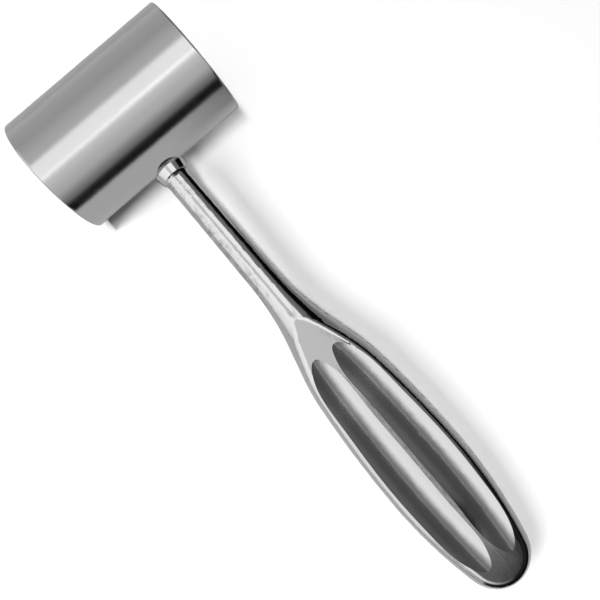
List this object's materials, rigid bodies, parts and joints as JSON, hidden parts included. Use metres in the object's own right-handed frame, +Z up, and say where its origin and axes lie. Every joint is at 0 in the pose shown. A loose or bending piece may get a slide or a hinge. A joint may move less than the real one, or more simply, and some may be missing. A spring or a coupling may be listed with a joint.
{
  "type": "surgical mallet",
  "caption": "Bone mallet lying at rest: a solid cylindrical steel head screwed to a round-necked handle with a flat, fluted grip.",
  "frame": {"origin": "middle of the mallet's box, on the surface it lies on", "axes": "+X from the head towards the grip's tip, +Y along the head towards one striking face, +Z up"},
  "size_m": [0.2394, 0.07, 0.049],
  "materials": {
    "head_steel": "fine-turned satin stainless steel",
    "collar_steel": "polished stainless steel",
    "handle_steel": "hand-polished satin stainless steel"
  },
  "bodies": {
    "root": {"head": "head_steel", "collar": "collar_steel", "handle": "handle_steel"}
  },
  "joints": []
}
